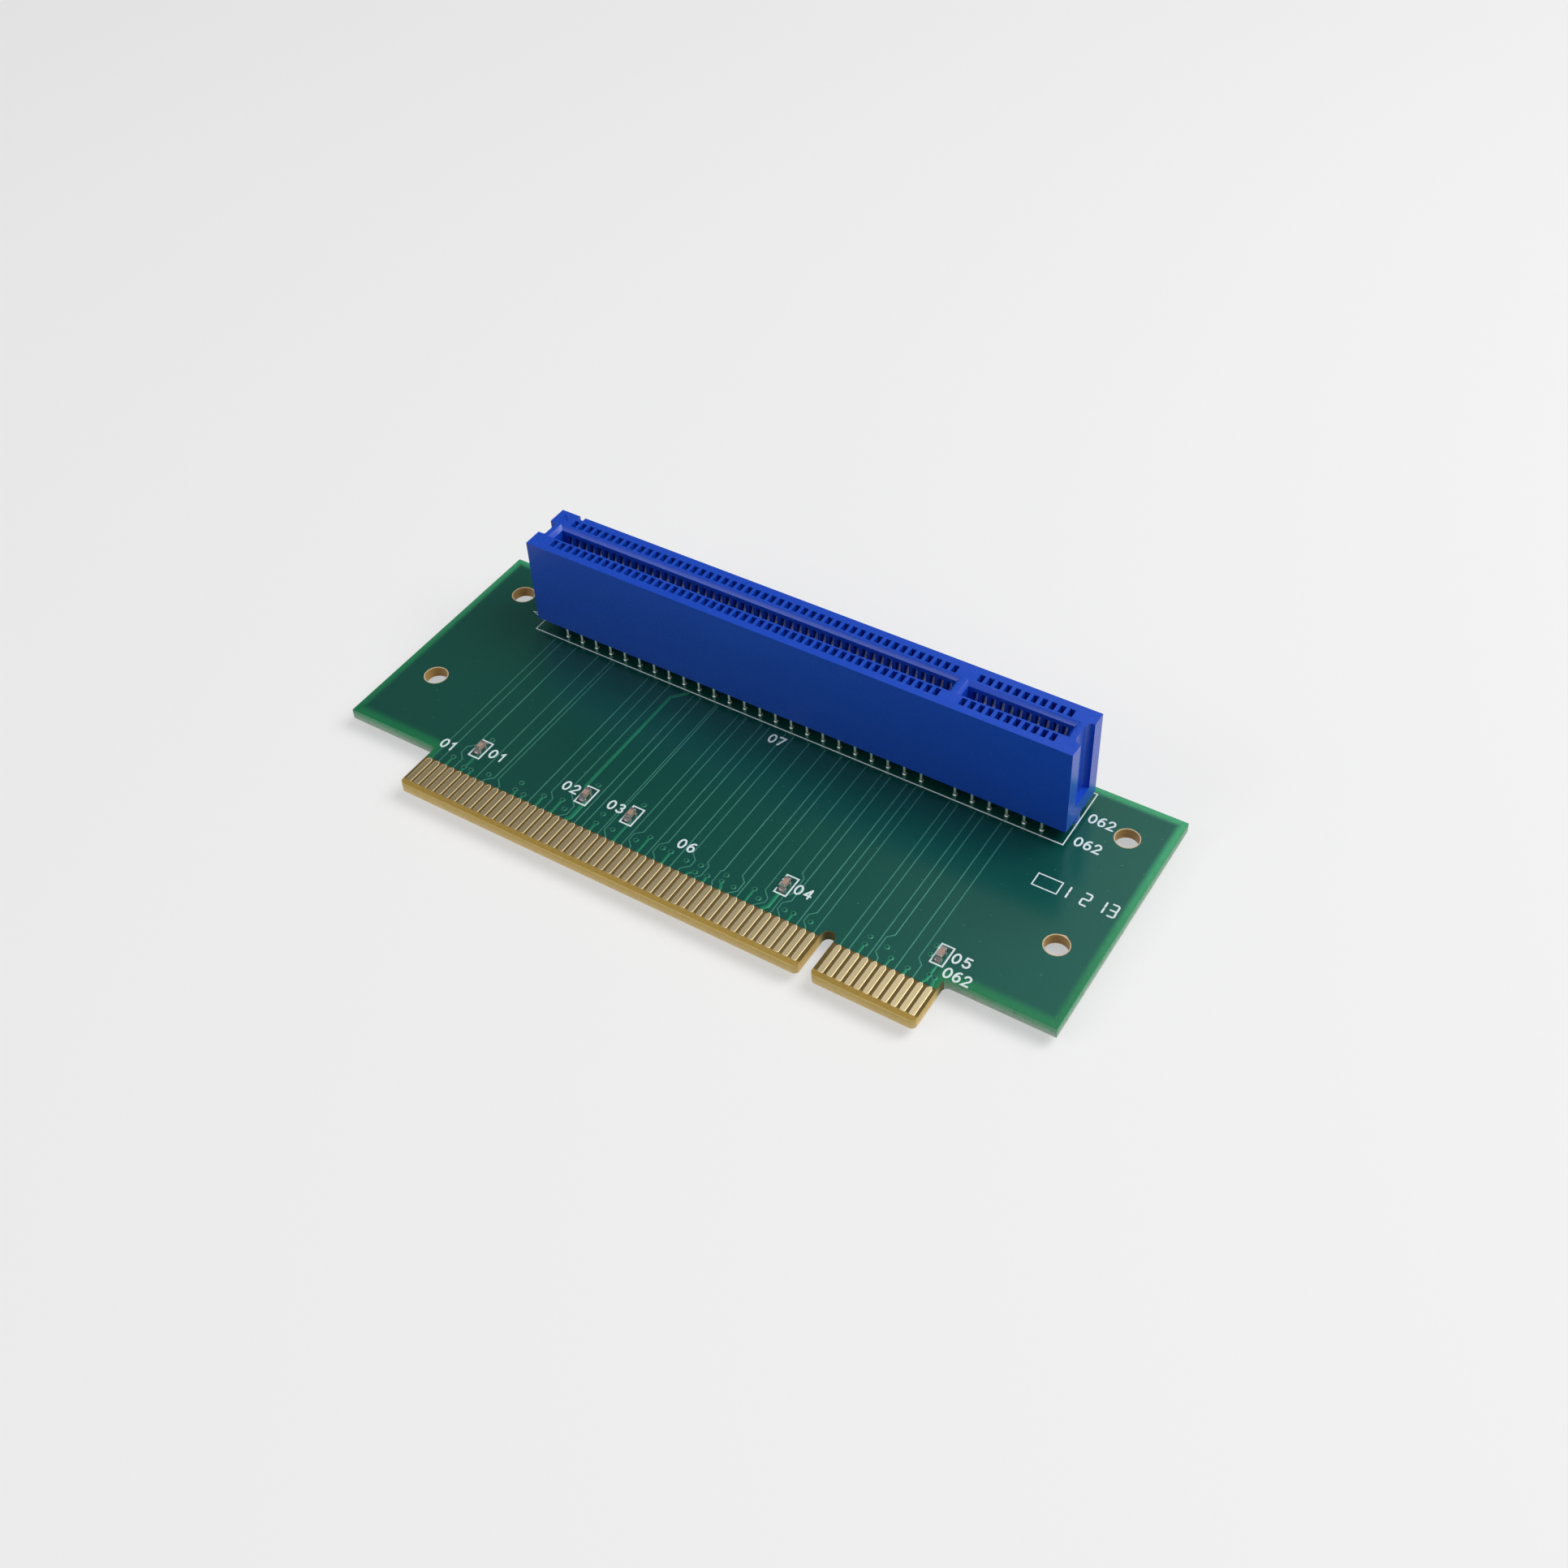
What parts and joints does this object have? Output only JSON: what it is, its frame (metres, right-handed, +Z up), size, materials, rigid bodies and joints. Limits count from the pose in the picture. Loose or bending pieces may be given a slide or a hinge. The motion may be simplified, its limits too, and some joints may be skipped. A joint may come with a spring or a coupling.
{
  "type": "pci riser card",
  "caption": "Flat green riser card: an edge tab of gold fingers at the front and a tall blue card slot standing along the back edge.",
  "frame": {"origin": "under the middle of the card's outline, at the height of the contact tails' tips", "axes": "+X along the slot from the first contact to the last, +Y from the edge tab to the back edge, +Z up out of the slot"},
  "size_m": [0.1092, 0.0458, 0.0188],
  "materials": {
    "solder_mask": "satin green solder mask on glass-epoxy laminate",
    "blue_plastic": "smooth moulded plastic, slightly glossy",
    "tinned_contact": "bright tin plating",
    "gold_plating": "thin pale gold plating",
    "capacitor_ceramic": "fired ceramic, tan brown",
    "capacitor_end_cap": "tinned metal, dull",
    "solder": "bright solder"
  },
  "bodies": {
    "root": {"circuit_board": "solder_mask", "slot_housing": "blue_plastic", "contacts_front_outer": "tinned_contact", "contacts_front_inner": "tinned_contact", "contacts_back_inner": "tinned_contact", "contacts_back_outer": "tinned_contact", "edge_fingers_front": "gold_plating", "edge_fingers_back": "gold_plating", "capacitor_1": "capacitor_ceramic", "capacitor_1_ends": "capacitor_end_cap", "capacitor_1_solder": "solder", "capacitor_2": "capacitor_ceramic", "capacitor_2_ends": "capacitor_end_cap", "capacitor_2_solder": "solder", "capacitor_3": "capacitor_ceramic", "capacitor_3_ends": "capacitor_end_cap", "capacitor_3_solder": "solder", "capacitor_4": "capacitor_ceramic", "capacitor_4_ends": "capacitor_end_cap", "capacitor_4_solder": "solder", "capacitor_5": "capacitor_ceramic", "capacitor_5_ends": "capacitor_end_cap", "capacitor_5_solder": "solder"}
  },
  "joints": []
}
